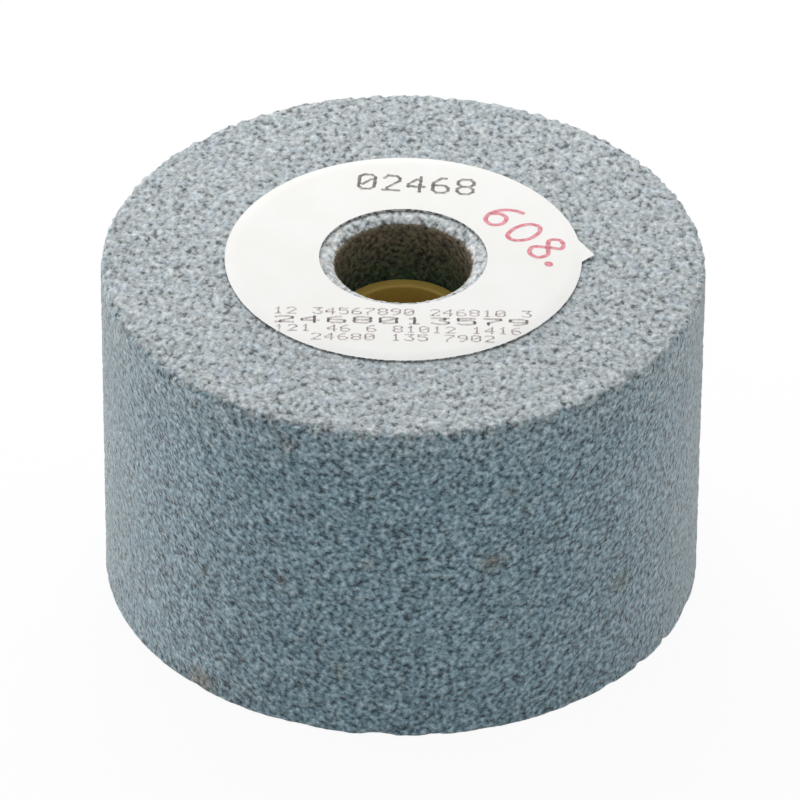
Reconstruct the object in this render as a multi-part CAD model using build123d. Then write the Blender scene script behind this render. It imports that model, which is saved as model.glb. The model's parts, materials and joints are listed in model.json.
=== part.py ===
from build123d import *
import os

# Abrasive body, in millimetres. It stands on the rim of its cup, with its back face up.
wheel_diameter = 90.0
wheel_height = 55.0
rim_wall = 11.0
back_thickness = 18.0
hollow_corner_radius = 6.0
worn_edge_radius = 0.5

# Bore through the back, with a flared mouth at the back face
bore_diameter = 20.0
mouth_spread = 2.1
mouth_depth = 1.3

# Bush that narrows the bore for a thinner spindle, flush with the floor of the hollow
bush_wall = 2.0
bush_length = 7.5
bush_edge_radius = 0.4
bush_clearance = 0.02

# Paper label on the back face, with a small pointed tab. Angles are in degrees from +X.
label_diameter = 53.0
label_mouth_margin = 0.4
label_thickness = 0.4
tab_reach = 1.9
tab_tip_angle = 1.4
tab_upper_root_angle = 10.6
tab_lower_root_angle = -1.8

wheel_radius = wheel_diameter / 2
bore_radius = bore_diameter / 2
mouth_radius = bore_radius + mouth_spread
label_radius = label_diameter / 2
hollow_radius = wheel_radius - rim_wall
floor_height = wheel_height - back_thickness


def turned(corners, radii):
    """Turn a closed outline of (radius, height) corners, each rounded by its own radius, about the axis."""
    outline = FilletPolyline(*corners, radius=radii, close=True)
    return revolve(Plane.XZ * make_face(outline), Axis.Z)


def abrasive_cup():
    """The pressed and fired body: a cylinder with a hollow in its front and a bore through its back."""
    corners = [
        (bore_radius, floor_height),
        (hollow_radius, floor_height),
        (hollow_radius, 0),
        (wheel_radius, 0),
        (wheel_radius, wheel_height),
        (mouth_radius, wheel_height),
        (bore_radius, wheel_height - mouth_depth),
    ]
    radii = [0, hollow_corner_radius, worn_edge_radius, worn_edge_radius, worn_edge_radius, 0, 0]
    return turned(corners, radii)


def reducing_bush():
    """The plastic ring in the lower part of the bore, with soft edges."""
    outer_radius = bore_radius - bush_clearance
    hole_radius = bore_radius - bush_wall
    top_height = floor_height + bush_length
    corners = [
        (hole_radius, floor_height),
        (outer_radius, floor_height),
        (outer_radius, top_height),
        (hole_radius, top_height),
    ]
    return turned(corners, [bush_edge_radius] * len(corners))


def label_tab():
    """The pointed tab as a flat triangle, from two places on the label's edge to the tip beyond it."""
    edge = Vector(label_radius, 0)
    tip = Vector(label_radius + tab_reach, 0)
    upper_root = edge.rotate(Axis.Z, tab_upper_root_angle)
    lower_root = edge.rotate(Axis.Z, tab_lower_root_angle)
    return make_face(Polyline(upper_root, tip.rotate(Axis.Z, tab_tip_angle), lower_root, close=True))


def paper_label():
    """The round paper label that lies on the back face, round the bore's mouth."""
    paper = Circle(label_radius) + label_tab() - Circle(mouth_radius + label_mouth_margin)
    return Pos(0, 0, wheel_height) * extrude(paper, label_thickness)


os.makedirs("parts", exist_ok=True)
export_step(abrasive_cup(), "parts/abrasive_cup.step")
export_step(reducing_bush(), "parts/reducing_bush.step")
export_step(paper_label(), "parts/paper_label.step")
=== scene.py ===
import json
import math

import bpy
import numpy as np
from mathutils import Matrix, Vector, noise


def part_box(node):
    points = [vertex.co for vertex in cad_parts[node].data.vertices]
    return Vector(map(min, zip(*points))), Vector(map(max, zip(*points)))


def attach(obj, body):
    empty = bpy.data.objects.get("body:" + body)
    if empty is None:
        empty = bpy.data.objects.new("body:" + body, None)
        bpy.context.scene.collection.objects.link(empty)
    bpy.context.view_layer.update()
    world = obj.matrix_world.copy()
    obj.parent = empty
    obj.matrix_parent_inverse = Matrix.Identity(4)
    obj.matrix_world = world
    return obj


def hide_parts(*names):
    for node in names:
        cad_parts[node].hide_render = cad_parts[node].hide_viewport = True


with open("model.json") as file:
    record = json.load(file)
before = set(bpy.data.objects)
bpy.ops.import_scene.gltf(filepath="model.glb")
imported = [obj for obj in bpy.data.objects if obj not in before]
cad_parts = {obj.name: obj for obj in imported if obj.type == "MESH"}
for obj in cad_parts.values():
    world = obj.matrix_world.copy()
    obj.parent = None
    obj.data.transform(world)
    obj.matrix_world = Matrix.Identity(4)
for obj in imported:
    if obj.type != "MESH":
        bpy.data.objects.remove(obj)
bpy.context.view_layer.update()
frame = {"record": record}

# A colour Mix node's factor, A and B inputs and its result, by place
COLOUR_MIX_INPUTS = (0, 6, 7)
COLOUR_MIX_OUTPUT = 2

MM = 0.001
FULL_TURN = 2 * math.pi

# Sizes read from the frame
body_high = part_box("abrasive_cup")[1]
bush_low, bush_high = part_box("reducing_bush")
label_low, label_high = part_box("paper_label")
WHEEL_RADIUS = body_high.x
WHEEL_HEIGHT = body_high.z
FLOOR_HEIGHT = bush_low.z
LABEL_RADIUS = -label_low.x
LABEL_TOP = label_high.z
SPINDLE_RADIUS = frame["record"]["mounts"][0]["dims"]["r_mm"] * MM

# Sizes of the abrasive body that the frame doesn't state
BORE_RADIUS = 10.0 * MM
RIM_WALL = 11.0 * MM
HOLLOW_CORNER = 6.0 * MM
WORN_EDGE = 0.5 * MM
MOUTH_SPREAD = 2.1 * MM
MOUTH_DEPTH = 1.3 * MM

# Label
LABEL_HOLE = 12.5 * MM
TAB_REACH = 1.9 * MM
TAB_TIP_ANGLE = math.radians(1.4)
TAB_UPPER_ANGLE = math.radians(10.6)
TAB_LOWER_ANGLE = math.radians(-1.8)

# Textures are turned off the object's axes, so that flat faces don't lie along their grid
TEXTURE_TURN = (0.6, 0.9, 0.4)


class Shader:
    """A material's node tree, with a short call for each kind of node."""

    def __init__(self, name, roughness):
        self.material = bpy.data.materials.new(name)
        self.material.use_nodes = True
        self.tree = self.material.node_tree
        self.surface = self.tree.nodes["Principled BSDF"]
        self.surface.inputs["Roughness"].default_value = roughness
        self.place = self.node("ShaderNodeTexCoord").outputs["Object"]
        self.texture_place = self.off_axes(self.place)

    def node(self, kind, **settings):
        made = self.tree.nodes.new(kind)
        for key, value in settings.items():
            setattr(made, key, value)
        return made

    def put(self, socket, value):
        if isinstance(value, bpy.types.NodeSocket):
            self.tree.links.new(value, socket)
        else:
            socket.default_value = value

    def off_axes(self, vector):
        """Places turned away from the object's axes."""
        made = self.node("ShaderNodeVectorRotate", rotation_type="EULER_XYZ")
        self.put(made.inputs["Vector"], vector)
        self.put(made.inputs["Rotation"], TEXTURE_TURN)
        return made.outputs[0]

    def stretched(self, factors):
        """Places for a texture that is stretched along the object's axes."""
        made = self.node("ShaderNodeVectorMath", operation="DIVIDE")
        self.put(made.inputs[0], self.place)
        self.put(made.inputs[1], factors)
        return self.off_axes(made.outputs[0])

    def math(self, operation, *values, clamp=False):
        made = self.node("ShaderNodeMath", operation=operation, use_clamp=clamp)
        for socket, value in zip(made.inputs, values):
            self.put(socket, value)
        return made.outputs[0]

    def noise(self, size, detail=0.0, roughness=0.5, vector=None):
        made = self.node("ShaderNodeTexNoise")
        self.put(made.inputs["Vector"], vector or self.texture_place)
        self.put(made.inputs["Scale"], 1 / size)
        self.put(made.inputs["Detail"], detail)
        self.put(made.inputs["Roughness"], roughness)
        return made.outputs[0]

    def cells(self, size, vector=None):
        """Rounded cells, as the distance from each one's middle and a random number of its own."""
        made = self.node("ShaderNodeTexVoronoi")
        self.put(made.inputs["Vector"], vector or self.texture_place)
        self.put(made.inputs["Scale"], 1 / size)
        return made.outputs["Distance"], self.split(made.outputs["Color"])[0]

    def split(self, vector):
        made = self.node("ShaderNodeSeparateXYZ")
        self.put(made.inputs[0], vector)
        return made.outputs

    def distance(self, point):
        made = self.node("ShaderNodeVectorMath", operation="DISTANCE")
        self.put(made.inputs[0], self.place)
        self.put(made.inputs[1], point)
        return made.outputs["Value"]

    def axis_distance(self):
        """The distance from the wheel's axis."""
        made = self.node("ShaderNodeVectorMath", operation="MULTIPLY")
        self.put(made.inputs[0], self.place)
        self.put(made.inputs[1], (1, 1, 0))
        length = self.node("ShaderNodeVectorMath", operation="LENGTH")
        self.put(length.inputs[0], made.outputs[0])
        return length.outputs["Value"]

    def fade(self, value, start, end, low=0.0, high=1.0):
        """A smooth change from low to high while the value goes from start to end."""
        made = self.node("ShaderNodeMapRange", interpolation_type="SMOOTHSTEP")
        for socket, given in zip(made.inputs, (value, start, end, low, high)):
            self.put(socket, given)
        return made.outputs[0]

    def mix(self, factor, first, second, blend="MIX"):
        made = self.node("ShaderNodeMix", data_type="RGBA", blend_type=blend)
        for index, value in zip(COLOUR_MIX_INPUTS, (factor, first, second)):
            self.put(made.inputs[index], value)
        return made.outputs[COLOUR_MIX_OUTPUT]

    def between(self, share, first, second):
        """The number that lies a share of the way from the first to the second."""
        return self.math("MULTIPLY_ADD", self.math("SUBTRACT", second, first), share, first)

    def gained(self, value, gain):
        """A number round 1 from one round 0.5, with its difference multiplied by the gain."""
        return self.math("MULTIPLY_ADD", self.math("SUBTRACT", value, 0.5), gain, 1.0)

    def toned(self, value, powers):
        """A multiplying colour from a number, each channel raised to its own power."""
        made = self.node("ShaderNodeCombineColor")
        for socket, power in zip(made.inputs, powers):
            self.put(socket, self.math("POWER", value, power))
        return made.outputs[0]

    def grey(self, value):
        """A grey colour from a number."""
        made = self.node("ShaderNodeCombineColor")
        for socket in made.inputs:
            self.put(socket, value)
        return made.outputs[0]

    def bump(self, height, depth, strength=1.0):
        made = self.node("ShaderNodeBump")
        self.put(made.inputs["Height"], height)
        self.put(made.inputs["Distance"], depth)
        self.put(made.inputs["Strength"], strength)
        self.put(self.surface.inputs["Normal"], made.outputs[0])


def srgb(red, green, blue):
    """An 8-bit screen colour as the linear colour that nodes use."""
    def linear(level):
        share = level / 255
        return share / 12.92 if share <= 0.04045 else ((share + 0.055) / 1.055) ** 2.4

    return linear(red), linear(green), linear(blue), 1.0


def smooth(value, start, end):
    """0 before start and 1 after end, with a smooth rise between; works on arrays too."""
    share = np.clip((value - start) / (end - start), 0, 1)
    return share * share * (3 - 2 * share)


def walk(start, end, spacing):
    """Points in a straight line from start up to, but without, end."""
    start, end = np.array(start), np.array(end)
    steps = max(1, round(float(np.linalg.norm(end - start)) / spacing))
    return [tuple(start + (end - start) * step / steps) for step in range(steps)]


def arc(centre, radius, start, end, steps):
    """Points on an arc from the start angle up to, but without, the end angle, in degrees."""
    angles = [math.radians(start + (end - start) * step / steps) for step in range(steps)]
    return [(centre[0] + radius * math.cos(a), centre[1] + radius * math.sin(a)) for a in angles]


def add_mesh(name, vertices, faces, materials, face_materials=None, sharp_angle=None):
    """A smooth-shaded mesh object at the origin, riding on the part's one body."""
    mesh = bpy.data.meshes.new(name)
    mesh.from_pydata([tuple(v) for v in vertices], [], faces)
    for material in materials:
        mesh.materials.append(material)
    mesh.polygons.foreach_set("use_smooth", [True] * len(faces))
    if face_materials is not None:
        mesh.polygons.foreach_set("material_index", face_materials)
    if sharp_angle is not None:
        mesh.set_sharp_from_angle(angle=sharp_angle)
    made = bpy.data.objects.new(name, mesh)
    bpy.context.scene.collection.objects.link(made)
    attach(made, "root")
    return made


def loop_faces(rows, columns):
    """Quads over a grid of vertices that closes on itself both ways."""
    faces = []
    for row in range(rows):
        upper = (row + 1) % rows
        for column in range(columns):
            following = (column + 1) % columns
            faces.append((row * columns + column, upper * columns + column,
                          upper * columns + following, row * columns + following))
    return faces


def turned(name, profile, columns, materials, relief=None, row_materials=None):
    """A closed (radius, height) profile turned about the axis. relief says how deep each vertex is sunk."""
    profile = np.array(profile)
    face_materials = None if row_materials is None else np.repeat(row_materials, columns)
    along = np.roll(profile, -1, axis=0) - np.roll(profile, 1, axis=0)
    along /= np.linalg.norm(along, axis=1, keepdims=True)
    outward = np.stack([-along[:, 1], along[:, 0]], axis=1)
    angles = np.arange(columns) * FULL_TURN / columns
    radius = np.repeat(profile[:, 0:1], columns, axis=1)
    height = np.repeat(profile[:, 1:2], columns, axis=1)
    turned_angles = np.repeat(angles[None, :], len(profile), axis=0)
    if relief is not None:
        depth, shifts = relief(radius, height, angles)
        radius = radius - depth * outward[:, 0:1]
        height = height - depth * outward[:, 1:2]
        turned_angles = turned_angles + shifts * FULL_TURN / columns
    vertices = np.stack([radius * np.cos(turned_angles), radius * np.sin(turned_angles), height], axis=2)
    vertices = vertices.reshape(-1, 3)
    return add_mesh(name, vertices, loop_faces(len(profile), columns), materials, face_materials)


# Abrasive body

# How finely the profile is divided, and how near the bore's radius its rows count as the bore's wall
BODY_COLUMNS = 480
SIDE_SPACING = 0.70 * MM
BACK_SPACING = 0.45 * MM
COVERED_SPACING = 3.0 * MM
HIDDEN_SPACING = 4.0 * MM
BORE_SPACING = 0.8 * MM
RIM_SPACING = 1.1 * MM
EDGE_SPACING = 0.3 * MM
EDGE_BAND = 1.5 * MM
TOP_ARC_STEPS = 5
EDGE_ARC_STEPS = 3
HOLLOW_ARC_STEPS = 6
BORE_WALL_REACH = 0.01 * MM

# The rounded edge of the back face and the bulge of the bore's mouth
TOP_ROUNDING = 1.0 * MM
MOUTH_BULGE = 0.33 * MM

# Relief of the outside: depth of the swell and of each vertex's own draw, and the swell's length
GRAIN_SEED = 7
GRAIN_DEPTH = 0.10 * MM
GRAIN_JITTER = 0.20 * MM
GRAIN_SWELL = 1.3 * MM
SIDEWAYS_JITTER = 0.28
OUTSIDE_START = 13 * MM

# Relief of the bore's wall and, with a finer grain, of the lip of its mouth
BORE_DEPTH = 0.14 * MM
BORE_GRAIN = 1.5 * MM
LIP_GRAIN = 0.6 * MM
LIP_RISE = 0.5 * MM

# Wear along the edges of the back face and of the cup's rim
WEAR_LENGTH = 1.2 * MM
WEAR_SHIFT = 9
WEAR_MEAN = 0.4
WEAR_SWING = 2
WEAR_START = 0.3 * MM
TOP_EDGE_WEAR = 0.42 * MM
TOP_EDGE_BAND = 2.0 * MM
RIM_EDGE_WEAR = 0.06 * MM
RIM_EDGE_CALM = 0.75
CHIP_START = 0.2 * MM
CHIP_REACH = 1.3 * MM
CHIP_SQUARENESS = 4

# Chips on the cup's rim: degrees round from the front towards +X, half width in degrees, depth in mm
RIM_CHIPS = (
    (-43, 2.5, 0.12), (-20, 5.0, 0.14), (-4.3, 2.6, 0.40), (6.5, 1.6, 0.18), (16.5, 2.0, 0.10),
    (36, 2.5, 0.10), (44, 1.2, 0.22), (53, 1.0, 0.30), (62, 0.9, 0.36), (73, 3.0, 0.16),
    (118, 2.0, 0.25), (171, 3.0, 0.2), (-138, 2.0, 0.3), (-95, 1.5, 0.15),
)


def body_profile():
    """The section of the cup, up the bore, out over the back face, down the side and in under the rim."""
    mouth_radius = BORE_RADIUS + MOUTH_SPREAD
    hollow_radius = WHEEL_RADIUS - RIM_WALL
    mouth_foot = WHEEL_HEIGHT - MOUTH_DEPTH
    edge = WORN_EDGE
    worn = TOP_ROUNDING
    side = WHEEL_RADIUS
    top = WHEEL_HEIGHT
    corner = (hollow_radius - HOLLOW_CORNER, FLOOR_HEIGHT - HOLLOW_CORNER)
    points = walk((BORE_RADIUS, FLOOR_HEIGHT), (BORE_RADIUS, mouth_foot - EDGE_BAND), BORE_SPACING)
    points += walk((BORE_RADIUS, mouth_foot - EDGE_BAND), (BORE_RADIUS, mouth_foot), EDGE_SPACING)
    lip = walk((BORE_RADIUS, mouth_foot), (mouth_radius, top), EDGE_SPACING)
    across = Vector((-MOUTH_DEPTH, MOUTH_SPREAD)).normalized() * MOUTH_BULGE
    for step, (radius, height) in enumerate(lip):
        bulge = math.sin(math.pi * step / len(lip))
        points.append((radius + across.x * bulge, height + across.y * bulge))
    points += walk((mouth_radius, top), (LABEL_RADIUS - EDGE_BAND, top), COVERED_SPACING)
    points += walk((LABEL_RADIUS - EDGE_BAND, top), (side - worn - EDGE_BAND, top), BACK_SPACING)
    points += walk((side - worn - EDGE_BAND, top), (side - worn, top), EDGE_SPACING)
    points += arc((side - worn, top - worn), worn, 90, 0, TOP_ARC_STEPS)
    points += walk((side, top - worn), (side, top - worn - EDGE_BAND), EDGE_SPACING)
    points += walk((side, top - worn - EDGE_BAND), (side, edge + EDGE_BAND), SIDE_SPACING)
    points += walk((side, edge + EDGE_BAND), (side, edge), EDGE_SPACING)
    points += arc((side - edge, edge), edge, 0, -90, EDGE_ARC_STEPS)
    points += walk((side - edge, 0), (hollow_radius + edge, 0), RIM_SPACING)
    points += arc((hollow_radius + edge, edge), edge, -90, -180, EDGE_ARC_STEPS)
    points += walk((hollow_radius, edge), (hollow_radius, corner[1]), HIDDEN_SPACING)
    points += arc(corner, HOLLOW_CORNER, 0, 90, HOLLOW_ARC_STEPS)
    points += walk((corner[0], FLOOR_HEIGHT), (BORE_RADIUS, FLOOR_HEIGHT), HIDDEN_SPACING)
    return points


def noise_field(places, size, shift=0):
    """Smooth noise of a given length at a grid of places."""
    flat = places.reshape(-1, 3)
    return np.array([noise.noise(Vector(place / size + shift)) for place in flat]).reshape(places.shape[:2])


def body_relief(radius, height, angles):
    """How far grains, wear and chips sink each vertex of the body below its smooth form."""
    draws = np.random.RandomState(GRAIN_SEED)
    places = np.stack([radius * np.cos(angles), radius * np.sin(angles), height], axis=2)
    outside = smooth(radius, OUTSIDE_START, LABEL_RADIUS)
    swell = 0.5 + 0.5 * noise_field(places, GRAIN_SWELL)
    depth = GRAIN_DEPTH * swell + GRAIN_JITTER * outside * draws.random_sample(radius.shape)

    mouth_foot = WHEEL_HEIGHT - MOUTH_DEPTH
    wall = noise_field(places, BORE_GRAIN)
    lip = noise_field(places, LIP_GRAIN)
    on_lip = smooth(height, mouth_foot - LIP_RISE, mouth_foot)
    depth += BORE_DEPTH * (1 - outside) * (0.5 + wall + (lip - wall) * on_lip)

    from_side = WHEEL_RADIUS - radius
    to_top_edge = np.hypot(from_side, WHEEL_HEIGHT - height)
    to_rim_edge = np.hypot(from_side, height)
    near_top_edge = 1 - smooth(to_top_edge, WEAR_START, TOP_EDGE_BAND)
    near_rim_edge = 1 - smooth(to_rim_edge, WEAR_START, EDGE_BAND)
    worn = np.clip(WEAR_MEAN + WEAR_SWING * noise_field(places, WEAR_LENGTH, WEAR_SHIFT), 0, WEAR_SWING)
    depth *= 1 - RIM_EDGE_CALM * near_rim_edge
    depth += (TOP_EDGE_WEAR * near_top_edge + RIM_EDGE_WEAR * near_rim_edge) * worn

    near_rim = 1 - smooth(to_rim_edge, CHIP_START, CHIP_REACH)
    from_front = np.degrees(angles) + 90
    for place, half_width, chip_depth in RIM_CHIPS:
        turn = (from_front - place + 180) % 360 - 180
        depth += chip_depth * MM * near_rim * np.exp(-(turn / half_width) ** CHIP_SQUARENESS)
    return depth, outside * draws.uniform(-SIDEWAYS_JITTER, SIDEWAYS_JITTER, radius.shape)


# Grains, each a cell of its own lightness, and the lighter and darker patches that they lie in
SIDE_GRAIN = 0.40 * MM
TOP_GRAIN = 0.50 * MM
SIDE_PATCH = 0.76 * MM
TOP_PATCH = 0.78 * MM
TOP_STRETCH = (1.0, 1.5, 1.0)
GRAIN_CONTRAST = 0.5
SIDE_CONTRAST = 3.9
TOP_CONTRAST = 2.2
PIT_START = 0.28
PIT_END = 0.44
PIT_VALUE = 0.28
VALUE_LOW = 0.12
VALUE_HIGH = 2.2

# Colours of the back face and of the side, which grows paler towards the back face
TOP_COLOUR = (0.332, 0.374, 0.394, 1)
SIDE_COLOUR = (0.188, 0.298, 0.350, 1)
SIDE_HIGH_COLOUR = (0.245, 0.342, 0.382, 1)
PALE_REACH = 10 * MM

# How strongly each colour channel darkens in dark grains and lightens in light ones
SIDE_TONE = (1.32, 1.06, 0.98)
TOP_TONE = (1.06, 1.0, 0.99)

# Slow drifts of hue over the body
DRIFT_SIZE = 2.4 * MM
DRIFT_BAND = (0.35, 0.65)
COOL_DRIFT = (0.97, 1.0, 1.02, 1)
WARM_DRIFT = (1.03, 1.0, 0.97, 1)

# The back face's colour wraps raggedly over the worn edge
EDGE_GRAIN = 1.1 * MM
EDGE_RAGGED = 4.5 * MM
EDGE_START = 1.3 * MM
EDGE_END = 1.8 * MM
EDGE_REACH = 1.4 * MM
EDGE_LOWEST = 2 * MM
EDGE_FULL = 1.5 * MM

# Bare grains in the bore's mouth
MOUTH_COLOUR = (0.48, 0.50, 0.50, 1)
MOUTH_FADE = 0.6 * MM
MOUTH_CALM = 0.1

# The soaked wall of the bore: a brown stain, darkest and greenest at its foot, where the darkening is painted
# shade of the deep bore
SHADED_SOAK_FOOT_COLOUR = srgb(48, 73, 54)
SOAK_HIGH_COLOUR = srgb(106, 95, 78)
SOAK_GRAIN_COLOUR = srgb(122, 116, 92)
SOAK_SHADE_FOOT = 44 * MM
SOAK_SHADE_TOP = 53.5 * MM
SOAK_GRAIN = 1.6 * MM
SOAK_RAGGED = 0.9 * MM
SOAK_START = 0.75 * MM
SOAK_END = 0.95 * MM
SOAK_INNER = 1.1 * MM
SOAK_OUTER = 1.5 * MM
BARE_GRAIN_BAND = (0.8, 0.95)
BARE_GRAIN_SHARE = 0.6

# Dust makes the surface paler at a glancing view
DUST_SHEEN = 1.0
SHEEN_ROUGHNESS = 0.5
ABRASIVE_ROUGHNESS = 0.9
GRAIN_ROUNDING = -0.35
GRAIN_BUMP = 0.40 * MM

# A stain holds its full strength up to the first share of its radius and ends at the second
STAIN_BAND = (0.2, 1.2)

# Stains on the side: degrees round from the front towards +X, height in mm, radius in mm, colour, strength
SIDE_STAINS = (
    (-41.6, 1.6, 3.2, srgb(128, 122, 108), 0.75), (17.3, 30.9, 1.3, srgb(84, 76, 64), 0.8),
    (17.3, 30.7, 2.6, srgb(104, 110, 102), 0.5), (46.8, 18.6, 2.4, srgb(100, 112, 100), 0.7),
    (-21.3, 51.0, 1.7, srgb(158, 156, 154), 0.6), (-40, 22.7, 1.3, srgb(110, 116, 110), 0.6),
    (-22.9, 26.1, 1.4, srgb(114, 120, 114), 0.6), (-6.2, 31.4, 1.2, srgb(104, 112, 106), 0.5),
    (20.5, 43.0, 1.3, srgb(108, 118, 112), 0.5), (-11.6, 11.4, 1.4, srgb(128, 134, 126), 0.5),
)


def back_face_share(shade, height, from_axis):
    """Where the back face's look holds: 1 on it and over its ragged worn edge, 0 on the side."""
    ragged = shade.math("MULTIPLY_ADD", shade.noise(EDGE_GRAIN, detail=2), EDGE_RAGGED, height)
    at_edge = shade.fade(ragged, WHEEL_HEIGHT + EDGE_START, WHEEL_HEIGHT + EDGE_END)
    inner, outer = WHEEL_RADIUS - EDGE_REACH, WHEEL_RADIUS - EDGE_REACH / 2
    inside_edge = shade.fade(from_axis, inner, outer, low=1, high=0)
    up_there = shade.fade(height, WHEEL_HEIGHT - EDGE_LOWEST, WHEEL_HEIGHT - EDGE_FULL)
    return shade.math("MAXIMUM", at_edge, shade.math("MULTIPLY", inside_edge, up_there))


def stained(shade, colour):
    """The colour with the stains of the side mixed in."""
    for turn, place, radius, tint, strength in SIDE_STAINS:
        angle = math.radians(turn)
        centre = (WHEEL_RADIUS * math.sin(angle), -WHEEL_RADIUS * math.cos(angle), place * MM)
        start, end = (share * radius * MM for share in STAIN_BAND)
        nearness = shade.fade(shade.distance(centre), start, end, low=strength, high=0)
        colour = shade.mix(nearness, colour, tint)
    return colour


def soaked_bore(shade, colour, height, from_axis, value, lightness):
    """The colour with the bore's soaked wall, which ends raggedly below the mouth; its darkening towards the
    foot is painted shade.
    """
    mouth_foot = WHEEL_HEIGHT - MOUTH_DEPTH
    ragged = shade.math("MULTIPLY_ADD", shade.noise(SOAK_GRAIN, detail=2), SOAK_RAGGED, height)
    in_bore = shade.fade(from_axis, BORE_RADIUS + SOAK_INNER, BORE_RADIUS + SOAK_OUTER, low=1, high=0)
    below_mouth = shade.fade(ragged, mouth_foot + SOAK_START, mouth_foot + SOAK_END, low=1, high=0)
    # Painted shade: the wall's colour darkens from the top of the bore down to its foot
    less_painted_shade = shade.fade(height, SOAK_SHADE_FOOT, SOAK_SHADE_TOP)
    wall = shade.mix(less_painted_shade, SHADED_SOAK_FOOT_COLOUR, SOAK_HIGH_COLOUR)
    wall = shade.mix(1.0, wall, shade.grey(value), blend="MULTIPLY")
    bare_grains = shade.fade(lightness, *BARE_GRAIN_BAND, high=BARE_GRAIN_SHARE)
    wall = shade.mix(bare_grains, wall, SOAK_GRAIN_COLOUR)
    return shade.mix(shade.math("MULTIPLY", in_bore, below_mouth), colour, wall)


def abrasive_material(name, sheen):
    """Bonded grain: light and dark grains with pores between, stains on the side and a soaked bore wall with
    painted shade towards its foot.
    """
    shade = Shader(name, ABRASIVE_ROUGHNESS)
    height = shade.split(shade.place)[2]
    from_axis = shade.axis_distance()
    on_top = back_face_share(shade, height, from_axis)

    top_place = shade.stretched(TOP_STRETCH)
    side_patches = shade.noise(SIDE_PATCH, detail=1.0, roughness=0.4)
    top_patches = shade.noise(TOP_PATCH, detail=1.5, roughness=0.45, vector=top_place)
    side_distance, side_lightness = shade.cells(SIDE_GRAIN)
    top_distance, top_lightness = shade.cells(TOP_GRAIN, vector=top_place)
    patches = shade.between(on_top, side_patches, top_patches)
    distance = shade.between(on_top, side_distance, top_distance)
    lightness = shade.between(on_top, side_lightness, top_lightness)

    pits = shade.fade(top_patches, PIT_START, PIT_END, low=PIT_VALUE, high=1.0)
    top_value = shade.math("MULTIPLY", shade.gained(top_patches, TOP_CONTRAST), pits)
    value = shade.between(on_top, shade.gained(side_patches, SIDE_CONTRAST), top_value)
    value = shade.math("MULTIPLY", value, shade.gained(lightness, GRAIN_CONTRAST))
    value = shade.math("MAXIMUM", shade.math("MINIMUM", value, VALUE_HIGH), VALUE_LOW)
    tone = shade.mix(on_top, shade.toned(value, SIDE_TONE), shade.toned(value, TOP_TONE))

    near_top = shade.fade(height, WHEEL_HEIGHT - PALE_REACH, WHEEL_HEIGHT)
    colour = shade.mix(on_top, shade.mix(near_top, SIDE_COLOUR, SIDE_HIGH_COLOUR), TOP_COLOUR)
    mouth_edge = BORE_RADIUS + MOUTH_SPREAD
    in_mouth = shade.fade(from_axis, mouth_edge, mouth_edge + MOUTH_FADE, low=1, high=0)
    colour = stained(shade, shade.mix(in_mouth, colour, MOUTH_COLOUR))
    calm_tone = shade.mix(shade.math("MULTIPLY", in_mouth, MOUTH_CALM), tone, (1, 1, 1, 1))
    colour = shade.mix(1.0, colour, calm_tone, blend="MULTIPLY")
    drift = shade.fade(shade.noise(DRIFT_SIZE, detail=1), *DRIFT_BAND)
    colour = shade.mix(1.0, colour, shade.mix(drift, COOL_DRIFT, WARM_DRIFT), blend="MULTIPLY")
    colour = soaked_bore(shade, colour, height, from_axis, value, lightness)

    shade.put(shade.surface.inputs["Base Color"], colour)
    shade.put(shade.surface.inputs["Sheen Weight"], sheen)
    shade.put(shade.surface.inputs["Sheen Roughness"], SHEEN_ROUGHNESS)
    rounded = shade.math("MULTIPLY", distance, GRAIN_ROUNDING)
    shade.bump(shade.math("ADD", rounded, patches), GRAIN_BUMP)
    return shade.material


def add_body():
    """The abrasive cup. Only its soaked bore wall lacks the dusty sheen."""
    profile = body_profile()
    in_bore = [int(radius < BORE_RADIUS + BORE_WALL_REACH) for radius, _ in profile]
    materials = [abrasive_material("abrasive", DUST_SHEEN), abrasive_material("bore_wall", 0.0)]
    made = turned("wheel_body", profile, BODY_COLUMNS, materials, body_relief, in_bore)
    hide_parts("abrasive_cup")


# Reducing bush

BUSH_ROUNDING = 0.4 * MM
BUSH_COLUMNS = 240
BUSH_ARC_STEPS = 5
BUSH_WALL_SPACING = 0.8 * MM
BUSH_END_SPACING = 0.4 * MM
BUSH_MOTTLE = 1.8 * MM
BUSH_DARK_COLOUR = (0.58, 0.38, 0.075, 1)
BUSH_PALE_COLOUR = (0.65, 0.45, 0.11, 1)
BUSH_MOTTLE_BAND = (0.2, 0.8)
BUSH_GLOSSY = 0.5
BUSH_DULL = 0.7
BUSH_GRAIN = 0.25 * MM
BUSH_GRAIN_DEPTH = 0.02 * MM
BUSH_GRAIN_STRENGTH = 0.4


def bush_material():
    """Ochre plastic, a little uneven in colour and gloss."""
    shade = Shader("bush_plastic", BUSH_GLOSSY)
    mottle = shade.noise(BUSH_MOTTLE, detail=3)
    shade.put(shade.surface.inputs["Base Color"], shade.mix(mottle, BUSH_DARK_COLOUR, BUSH_PALE_COLOUR))
    gloss = shade.fade(mottle, *BUSH_MOTTLE_BAND, low=BUSH_GLOSSY, high=BUSH_DULL)
    shade.put(shade.surface.inputs["Roughness"], gloss)
    shade.bump(shade.noise(BUSH_GRAIN, detail=2), BUSH_GRAIN_DEPTH, BUSH_GRAIN_STRENGTH)
    return shade.material


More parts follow.
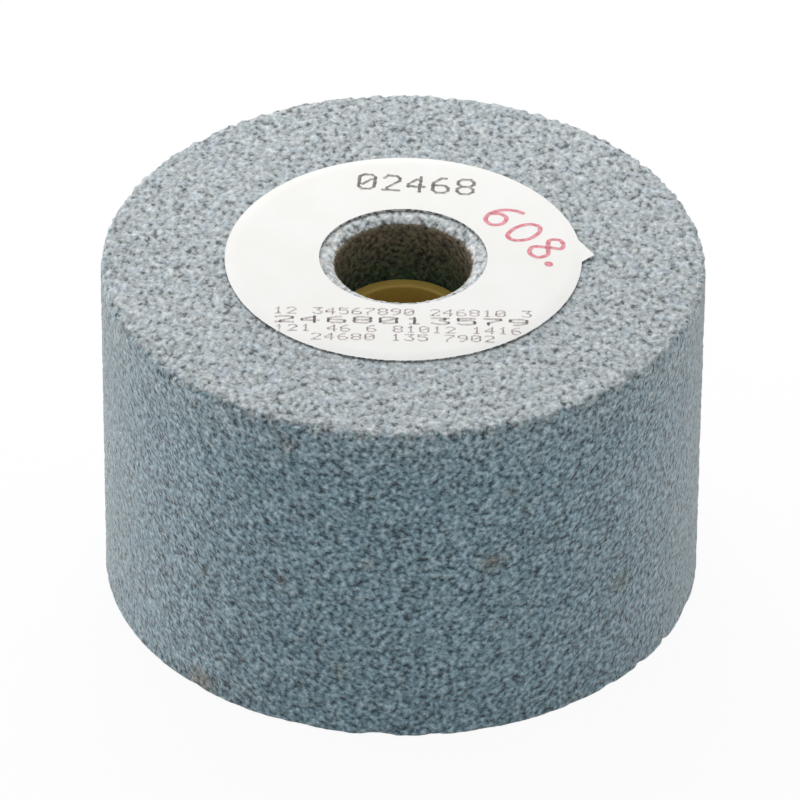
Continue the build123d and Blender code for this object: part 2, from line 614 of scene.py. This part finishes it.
def add_bush():
    """The ring in the lower part of the bore, with rounded edges."""
    inner, outer = SPINDLE_RADIUS, bush_high.x
    low, high, soft = bush_low.z, bush_high.z, BUSH_ROUNDING
    points = walk((inner, low + soft), (inner, high - soft), BUSH_WALL_SPACING)
    points += arc((inner + soft, high - soft), soft, 180, 90, BUSH_ARC_STEPS)
    points += walk((inner + soft, high), (outer - soft, high), BUSH_END_SPACING)
    points += arc((outer - soft, high - soft), soft, 90, 0, BUSH_ARC_STEPS)
    points += walk((outer, high - soft), (outer, low + soft), BUSH_WALL_SPACING)
    points += arc((outer - soft, low + soft), soft, 0, -90, BUSH_ARC_STEPS)
    points += walk((outer - soft, low), (inner + soft, low), BUSH_END_SPACING)
    points += arc((inner + soft, low + soft), soft, -90, -180, BUSH_ARC_STEPS)
    made = turned("bush_ring", points, BUSH_COLUMNS, [bush_material()])
    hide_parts("reducing_bush")


# Paper label

LABEL_COLUMNS = 720
LABEL_ROWS = 22

# The paper waves below its full height, is pressed down at its edge and lifts at the tab, which fades in
# over a small angle on both sides
PAPER_WAVE = 0.03 * MM
PAPER_WAVE_LENGTH = 9 * MM
PAPER_WAVE_DROP = 1.2
EDGE_PRESS = 0.18 * MM
EDGE_PRESS_REACH = 1.5 * MM
TAB_LIFT = 0.19 * MM
TAB_LIFT_REACH = 1.2 * MM
TAB_FADE = 0.05

# Paper, and its cut edge, mottled dark grey as painted shade along the label's edge
PAPER_ROUGHNESS = 0.85
FIBRE_SIZE = 0.35 * MM
FIBRE_BAND = (0.25, 0.5)
FIBRE_SHARE = 0.12
FIBRE_DEPTH = 0.02 * MM
FIBRE_STRENGTH = 0.5
CLOUD_SIZE = 7 * MM
CLOUD_BAND = (0.3, 0.7)
PAPER_COLOUR = (0.825, 0.81, 0.785, 1)
PAPER_PALE_COLOUR = (0.845, 0.83, 0.81, 1)
FIBRE_COLOUR = (0.7, 0.7, 0.68, 1)
CUT_EDGE_ROUGHNESS = 0.95
EDGE_MOTTLE_SIZE = 0.6 * MM
EDGE_SHADE_BAND = (0.4, 0.6)
EDGE_MOTTLE_DEPTH = 0.03 * MM
EDGE_MOTTLE_STRENGTH = 0.6
SHADED_EDGE_COLOUR = srgb(92, 94, 92)
PAPER_EDGE_COLOUR = srgb(206, 206, 202)
LABEL_SHARP_ANGLE = math.radians(35)


def tab_edge(angle):
    """The label's outer radius at an angle, with the straight edges of the pointed tab."""
    tip = Vector((math.cos(TAB_TIP_ANGLE), math.sin(TAB_TIP_ANGLE))) * (LABEL_RADIUS + TAB_REACH)
    for root_angle, inside in ((TAB_UPPER_ANGLE, TAB_TIP_ANGLE <= angle <= TAB_UPPER_ANGLE),
                               (TAB_LOWER_ANGLE, TAB_LOWER_ANGLE <= angle <= TAB_TIP_ANGLE)):
        if inside:
            root = Vector((math.cos(root_angle), math.sin(root_angle))) * LABEL_RADIUS
            edge = tip - root
            ray = Vector((math.cos(angle), math.sin(angle)))
            return (root.x * edge.y - root.y * edge.x) / (ray.x * edge.y - ray.y * edge.x)
    return LABEL_RADIUS


def paper_height(x, y):
    """The height of the paper's top face, which waves a little and lifts at its tab."""
    wave = PAPER_WAVE * (noise.noise(Vector((x, y, 0)) / PAPER_WAVE_LENGTH) - PAPER_WAVE_DROP)
    radius, angle = math.hypot(x, y), math.atan2(y, x)
    in_tab = smooth(min(angle - TAB_LOWER_ANGLE, TAB_UPPER_ANGLE - angle), -TAB_FADE, TAB_FADE)
    lift = TAB_LIFT * smooth(radius, LABEL_RADIUS - TAB_LIFT_REACH, LABEL_RADIUS + TAB_REACH) * in_tab
    pressed = EDGE_PRESS * smooth(radius, LABEL_RADIUS - EDGE_PRESS_REACH, LABEL_RADIUS)
    return LABEL_TOP + wave - float(pressed) + float(lift)


def paper_material():
    """Smooth white paper, slightly cloudy and with fine fibres."""
    shade = Shader("label_paper", PAPER_ROUGHNESS)
    fibres = shade.noise(FIBRE_SIZE, detail=4, roughness=0.7)
    cloud = shade.noise(CLOUD_SIZE, detail=2)
    colour = shade.mix(shade.fade(cloud, *CLOUD_BAND), PAPER_COLOUR, PAPER_PALE_COLOUR)
    fibre = shade.fade(fibres, *FIBRE_BAND, low=FIBRE_SHARE, high=0)
    colour = shade.mix(fibre, colour, FIBRE_COLOUR)
    shade.put(shade.surface.inputs["Base Color"], colour)
    shade.bump(fibres, FIBRE_DEPTH, FIBRE_STRENGTH)
    return shade.material


def cut_edge_material():
    """The paper's cut edge, mottled dark grey as painted shade along the label's edge."""
    shade = Shader("paper_cut_edge", CUT_EDGE_ROUGHNESS)
    edge_mottle = shade.noise(EDGE_MOTTLE_SIZE, detail=2)
    # Painted shade: the dark grey patches stand in for the shadow along the paper's cut edge
    colour = shade.mix(shade.fade(edge_mottle, *EDGE_SHADE_BAND), SHADED_EDGE_COLOUR, PAPER_EDGE_COLOUR)
    shade.put(shade.surface.inputs["Base Color"], colour)
    shade.bump(edge_mottle, EDGE_MOTTLE_DEPTH, EDGE_MOTTLE_STRENGTH)
    return shade.material


def add_label():
    """The paper sheet, a ring of rows over its top face and back under it."""
    angles = [FULL_TURN * step / LABEL_COLUMNS - math.pi for step in range(LABEL_COLUMNS)]
    angles = sorted(angles + [TAB_TIP_ANGLE, TAB_UPPER_ANGLE, TAB_LOWER_ANGLE])
    columns = len(angles)
    shares = [step / LABEL_ROWS for step in range(LABEL_ROWS + 1)]
    thickness = LABEL_TOP - WHEEL_HEIGHT
    vertices = []
    for under, ordered in ((False, shares), (True, shares[::-1])):
        for share in ordered:
            for angle in angles:
                reach = LABEL_HOLE + share * (tab_edge(angle) - LABEL_HOLE)
                x, y = reach * math.cos(angle), reach * math.sin(angle)
                lowest = paper_height(x, y) - thickness if reach > LABEL_RADIUS else WHEEL_HEIGHT
                vertices.append((x, y, lowest if under else paper_height(x, y)))
    rows = 2 * len(shares)
    edge_rows = (len(shares) - 1, rows - 1)
    face_materials = [int(row in edge_rows) for row in range(rows) for _ in range(columns)]
    materials = [paper_material(), cut_edge_material()]
    made = add_mesh("label_sheet", vertices, loop_faces(rows, columns), materials, face_materials,
                    sharp_angle=LABEL_SHARP_ANGLE)
    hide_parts("paper_label")


# Print and pen on the label: plain numbers only

INK_GAP = 0.012 * MM
BAR_GAP = 0.6 * INK_GAP
INK_ROUGHNESS = 0.8
INK_SOAK = 0.6 * MM
INK_SOAK_BAND = (0.35, 0.65)
INK_GRAIN = 0.3 * MM
INK_GRAIN_DEPTH = 0.01 * MM
INK_GRAIN_STRENGTH = 0.4

# Inks, each as its full colour and its colour where it has soaked in
DARK_INK = (srgb(98, 93, 89), srgb(138, 133, 129))
HEADING_INK = (srgb(122, 118, 114), srgb(168, 164, 160))
ROW_INK = (srgb(140, 130, 126), srgb(190, 182, 178))
FAINT_INK = (srgb(176, 166, 164), srgb(208, 200, 198))
PEN_INK = (srgb(206, 118, 130), srgb(222, 156, 164))

# Digits as rows of dots, from the top down
DIGIT_DOTS = {
    "0": "01110 10001 10011 10101 11001 10001 01110",
    "1": "00100 01100 00100 00100 00100 00100 01110",
    "2": "01110 10001 00001 00010 00100 01000 11111",
    "3": "11111 00010 00100 00010 00001 10001 01110",
    "4": "00010 00110 01010 10010 11111 00010 00010",
    "5": "11111 10000 11110 00001 00001 10001 01110",
    "6": "00110 01000 10000 11110 10001 10001 01110",
    "7": "11111 00001 00010 00100 01000 01000 01000",
    "8": "01110 10001 10001 01110 10001 10001 01110",
    "9": "01110 10001 10001 01111 00001 00010 01100",
}
DOT_COLUMNS = 5
DOT_ROWS = 7
DOT_SIDES = 8
DOT_NEIGHBOURS = ((0, 1), (1, 0), (1, 1), (1, -1))

# The share of its pitch that a digit takes, and how unevenly its dots and bars are printed
GLYPH_SHARE = 0.63
PRINT_SEED = 11
PRINT_SHAKE = 0.025
DOT_SWELL = (0.85, 1.15)
BAR_SWELL = (0.7, 0.95)


class Line:
    """A printed row of numbers: its text, the middle of its left end, the pitch and height of its digits and
    the radius of its dots in mm, and its slope in degrees."""

    def __init__(self, text, left, pitch, height, dot, slope):
        self.text = text
        self.left = left
        self.pitch = pitch
        self.height = height
        self.dot = dot
        self.slope = math.radians(slope)


HEADING = [Line("02468", (-6.7, 19.9), 3.72, 3.85, 0.30, -5)]
SMALL_ROWS = [
    Line("12 34567890 246810 3", (-18.9, -14.1), 1.92, 1.5, 0.15, -1.0),
    Line("121 46 6 81012 1416", (-18.7, -18.5), 1.93, 1.5, 0.15, -1.0),
    Line("24680 135 7902", (-13.3, -20.7), 1.95, 1.5, 0.15, -1.0),
]
WIDE_ROW = [Line("2468013579", (-18.6, -16.3), 3.82, 1.5, 0.24, -1.0)]


def dot_places(line):
    """The dots of a printed row, each as its place in mm, and the pairs of dots that ink joins up."""
    column_step = line.pitch * GLYPH_SHARE / (DOT_COLUMNS - 1)
    row_step = line.height / (DOT_ROWS - 1)
    cosine, sine = math.cos(line.slope), math.sin(line.slope)
    places, pairs = [], []
    for index, letter in enumerate(line.text):
        if letter == " ":
            continue
        found = {}
        for row, dots in enumerate(DIGIT_DOTS[letter].split()):
            for column, dot in enumerate(dots):
                if dot == "1":
                    along = index * line.pitch + column * column_step
                    up = line.height / 2 - row * row_step
                    found[row, column] = len(places)
                    places.append((line.left[0] + along * cosine - up * sine,
                                   line.left[1] + along * sine + up * cosine))
        for row, column in found:
            for down, right in DOT_NEIGHBOURS:
                other = (row + down, column + right)
                beside = (row, column + right) in found or (row + down, column) in found
                stepped = down and right and beside
                if other in found and not stepped:
                    pairs.append((found[row, column], found[other]))
    return places, pairs


def ink_material(name, colour, faded):
    """Ink that has soaked unevenly into the paper."""
    shade = Shader(name, INK_ROUGHNESS)
    soak = shade.fade(shade.noise(INK_SOAK, detail=2), *INK_SOAK_BAND)
    shade.put(shade.surface.inputs["Base Color"], shade.mix(soak, colour, faded))
    shade.bump(shade.noise(INK_GRAIN, detail=2), INK_GRAIN_DEPTH, INK_GRAIN_STRENGTH)
    return shade.material


def add_print(name, lines, materials):
    """Printed rows as flat dots, joined by flat bars a hair lower. Upright strokes take the second ink."""
    draws = np.random.RandomState(PRINT_SEED)
    vertices, faces, face_materials = [], [], []

    def add_patch(points, gap, upright):
        faces.append(tuple(range(len(vertices), len(vertices) + len(points))))
        face_materials.append(int(upright))
        vertices.extend((x * MM, y * MM, paper_height(x * MM, y * MM) + gap) for x, y in points)

    for line in lines:
        places, pairs = dot_places(line)
        places = [np.array(place) + draws.normal(0, PRINT_SHAKE, 2) for place in places]
        rises = [abs(places[second][0] - places[first][0]) < line.dot for first, second in pairs]
        in_upright = {index for pair, rise in zip(pairs, rises) if rise for index in pair}
        for index, place in enumerate(places):
            radius = line.dot * draws.uniform(*DOT_SWELL)
            turns = [FULL_TURN * side / DOT_SIDES for side in range(DOT_SIDES)]
            outline = [place + radius * np.array((math.cos(turn), math.sin(turn))) for turn in turns]
            add_patch(outline, INK_GAP, index in in_upright)
        for (first, second), rise in zip(pairs, rises):
            start, end = places[first], places[second]
            across = np.array((start[1] - end[1], end[0] - start[0]))
            across *= line.dot * draws.uniform(*BAR_SWELL) / np.linalg.norm(across)
            add_patch([start - across, end - across, end + across, start + across], BAR_GAP, rise)
    made = add_mesh(name, vertices, faces, materials, face_materials)


# Pen line in mm: its width with how much that varies and how narrow an end gets, and where it starts
PEN_WIDTH = 0.70
PEN_VARIES = 0.12
PEN_NOISE_PLANE = 3
PEN_TIP = 0.02
PEN_ORIGIN = (14.8, 10.9)
PEN_SLOPE = math.radians(-51.4)
PEN_STEPS = 14

# Pen strokes: points in mm, along the written line and up from the middle of the first digit
PEN_STROKES = (
    ((1.7, 2.9), (0.1, 2.3), (-1.3, 0.7), (-1.6, -1.2), (-0.7, -2.7), (0.9, -2.7), (1.6, -1.3), (0.8, 0.1),
     (-0.6, 0.0), (-1.5, -1.1)),
    ((5.7, 2.6), (4.2, 1.7), (3.7, -0.6), (4.5, -2.7), (6.1, -2.7), (7.2, -0.8), (6.8, 1.5), (5.6, 2.6)),
    ((11.6, 2.4), (10.2, 2.6), (9.4, 1.4), (10.6, 0.1), (12.1, -1.2), (11.7, -2.8), (10.1, -3.0), (9.2, -1.6),
     (10.6, 0.0), (12.1, 1.3), (11.5, 2.4)),
)
PEN_DOT = ((13.4, -2.5), (14.1, -2.6), (14.8, -2.5))
PEN_DOT_WIDTH = 1.15


def curve_through(points):
    """Catmull-Rom points through the given ones, in even steps."""
    knots = [np.array(p) for p in (points[0], *points, points[-1])]
    found = []
    for before, start, end, after in zip(knots, knots[1:], knots[2:], knots[3:]):
        for step in range(PEN_STEPS):
            t = step / PEN_STEPS
            slope = end - before
            bend = 2 * before - 5 * start + 4 * end - after
            twist = 3 * start - before - 3 * end + after
            found.append(0.5 * (2 * start + slope * t + bend * t ** 2 + twist * t ** 3))
    return found + [np.array(points[-1])]


def add_pen(material):
    """A plain number in red pen, written down the right of the label."""
    cosine, sine = math.cos(PEN_SLOPE), math.sin(PEN_SLOPE)
    turn = np.array([[cosine, -sine], [sine, cosine]])
    strokes = [(points, PEN_WIDTH) for points in PEN_STROKES] + [(PEN_DOT, PEN_DOT_WIDTH)]
    vertices, faces = [], []
    for stroke, full_width in strokes:
        middle = [turn @ point + PEN_ORIGIN for point in curve_through(stroke)]
        length = [0.0]
        for before, after in zip(middle, middle[1:]):
            length.append(length[-1] + np.linalg.norm(after - before))
        count = len(middle)
        first = len(vertices)
        for index, point in enumerate(middle):
            ahead = middle[min(index + 1, count - 1)] - middle[max(index - 1, 0)]
            ahead /= np.linalg.norm(ahead)
            across = np.array([-ahead[1], ahead[0]])
            from_end = min(length[index], length[-1] - length[index], full_width / 2)
            width = full_width * math.sqrt(max(1 - (1 - 2 * from_end / full_width) ** 2, PEN_TIP))
            width *= 1 + PEN_VARIES * noise.noise(Vector((*point, PEN_NOISE_PLANE)))
            for side in (-0.5, 0.5):
                place = (point + across * side * width) * MM
                vertices.append((*place, paper_height(*place) + INK_GAP))
        starts = range(first, first + 2 * (count - 1), 2)
        faces += [(start, start + 1, start + 3, start + 2) for start in starts]
    made = add_mesh("pen_number", vertices, faces, [material])


# Camera, lights and stage

CAMERA_DISTANCE = 1200 * MM
CAMERA_ELEVATION = math.radians(35.63)
CAMERA_ROLL = math.radians(0.39)
CAMERA_AIM_LEFT = 0.344 * MM
CAMERA_AIM_UP = 1.349 * MM
SENSOR_WIDTH = 36.0
CAMERA_LENS = 359.0
CAMERA_CLIP_START = 10 * MM

# Lamps: name, place in metres, width in metres, power in watts and colour
LAMPS = (
    ("key", (-0.04, 0.22, 0.34), 0.26, 0.80, (1.0, 0.99, 0.97)),
    ("left_fill", (-0.80, 0.37, 0.18), 0.4, 2.4, (1.0, 1.0, 1.0)),
    ("right_fill", (0.74, 0.58, 0.20), 0.4, 0.8, (1.0, 1.0, 1.0)),
)
SKY_COLOUR = (0.95, 0.98, 1.0, 1)
SKY_STRENGTH = 0.62
FLOOR_COLOUR = (0.6, 0.6, 0.6, 1)
FLOOR_SEEN_COLOUR = (0.9, 0.9, 0.9, 1)
FLOOR_GLOW_SHARE = 0.93
FLOOR_REACH = 6.0


def add_camera():
    """A camera in front of the wheel, which looks down at its middle."""
    middle = Vector((0, 0, WHEEL_HEIGHT / 2))
    back = Vector((0, -math.cos(CAMERA_ELEVATION), math.sin(CAMERA_ELEVATION)))
    right = Vector((1, 0, 0))
    up = back.cross(right)
    place = middle + back * CAMERA_DISTANCE
    aim = middle - right * CAMERA_AIM_LEFT + up * CAMERA_AIM_UP
    data = bpy.data.cameras.new("camera")
    data.sensor_width = SENSOR_WIDTH
    data.lens = CAMERA_LENS
    data.clip_start = CAMERA_CLIP_START
    made = bpy.data.objects.new("camera", data)
    bpy.context.scene.collection.objects.link(made)
    facing = (aim - place).to_track_quat("-Z", "Y").to_matrix().to_4x4()
    made.matrix_world = Matrix.Translation(place) @ facing @ Matrix.Rotation(CAMERA_ROLL, 4, "Z")
    bpy.context.scene.camera = made


def add_light(name, place, size, power, colour):
    """A round lamp that faces the wheel's middle."""
    data = bpy.data.lights.new(name, "AREA")
    data.shape = "DISK"
    data.size = size
    data.energy = power
    data.color = colour
    made = bpy.data.objects.new(name, data)
    bpy.context.scene.collection.objects.link(made)
    made.location = place
    facing = Vector((0, 0, WHEEL_HEIGHT / 2)) - Vector(place)
    made.rotation_euler = facing.to_track_quat("-Z", "Y").to_euler()


def add_world():
    """A soft even sky for the light, which looks white to the camera and in reflections."""
    world = bpy.data.worlds.new("world")
    bpy.context.scene.world = world
    world.use_nodes = True
    tree = world.node_tree
    sky = tree.nodes["Background"]
    sky.inputs["Color"].default_value = SKY_COLOUR
    sky.inputs["Strength"].default_value = SKY_STRENGTH
    white = tree.nodes.new("ShaderNodeBackground")
    white.inputs["Color"].default_value = (1, 1, 1, 1)
    path = tree.nodes.new("ShaderNodeLightPath")
    seen = tree.nodes.new("ShaderNodeMath")
    seen.operation = "MAXIMUM"
    tree.links.new(path.outputs["Is Camera Ray"], seen.inputs[0])
    tree.links.new(path.outputs["Is Glossy Ray"], seen.inputs[1])
    pick = tree.nodes.new("ShaderNodeMixShader")
    tree.links.new(seen.outputs[0], pick.inputs[0])
    tree.links.new(sky.outputs[0], pick.inputs[1])
    tree.links.new(white.outputs[0], pick.inputs[2])
    tree.links.new(pick.outputs[0], tree.nodes["World Output"].inputs["Surface"])


def add_floor():
    """A pale floor that shows the camera a near white and keeps the wheel's shadow."""
    material = bpy.data.materials.new("floor")
    material.use_nodes = True
    tree = material.node_tree
    tree.nodes.clear()
    diffuse = tree.nodes.new("ShaderNodeBsdfDiffuse")
    diffuse.inputs["Color"].default_value = FLOOR_COLOUR
    pale = tree.nodes.new("ShaderNodeBsdfDiffuse")
    pale.inputs["Color"].default_value = FLOOR_SEEN_COLOUR
    glow = tree.nodes.new("ShaderNodeEmission")
    shown = tree.nodes.new("ShaderNodeMixShader")
    shown.inputs[0].default_value = FLOOR_GLOW_SHARE
    tree.links.new(pale.outputs[0], shown.inputs[1])
    tree.links.new(glow.outputs[0], shown.inputs[2])
    path = tree.nodes.new("ShaderNodeLightPath")
    pick = tree.nodes.new("ShaderNodeMixShader")
    tree.links.new(path.outputs["Is Camera Ray"], pick.inputs[0])
    tree.links.new(diffuse.outputs[0], pick.inputs[1])
    tree.links.new(shown.outputs[0], pick.inputs[2])
    output = tree.nodes.new("ShaderNodeOutputMaterial")
    tree.links.new(pick.outputs[0], output.inputs["Surface"])
    reach = FLOOR_REACH
    corners = [(-reach, -reach, 0), (reach, -reach, 0), (reach, reach, 0), (-reach, reach, 0)]
    mesh = bpy.data.meshes.new("floor")
    mesh.from_pydata(corners, [], [(0, 1, 2, 3)])
    mesh.materials.append(material)
    made = bpy.data.objects.new("floor", mesh)
    bpy.context.scene.collection.objects.link(made)


add_camera()
add_body()
add_bush()
add_label()
dark_ink = ink_material("dark_ink", *DARK_INK)
heading_ink = ink_material("heading_ink", *HEADING_INK)
row_ink = ink_material("row_ink", *ROW_INK)
faint_ink = ink_material("faint_ink", *FAINT_INK)
pen_ink = ink_material("pen_ink", *PEN_INK)
add_print("heading_print", HEADING, [heading_ink, dark_ink])
add_print("row_print", SMALL_ROWS, [faint_ink, row_ink])
add_print("wide_row_print", WIDE_ROW, [faint_ink, dark_ink])
add_pen(pen_ink)
for lamp in LAMPS:
    add_light(*lamp)
add_world()
add_floor()
bpy.context.scene.view_settings.view_transform = "Standard"
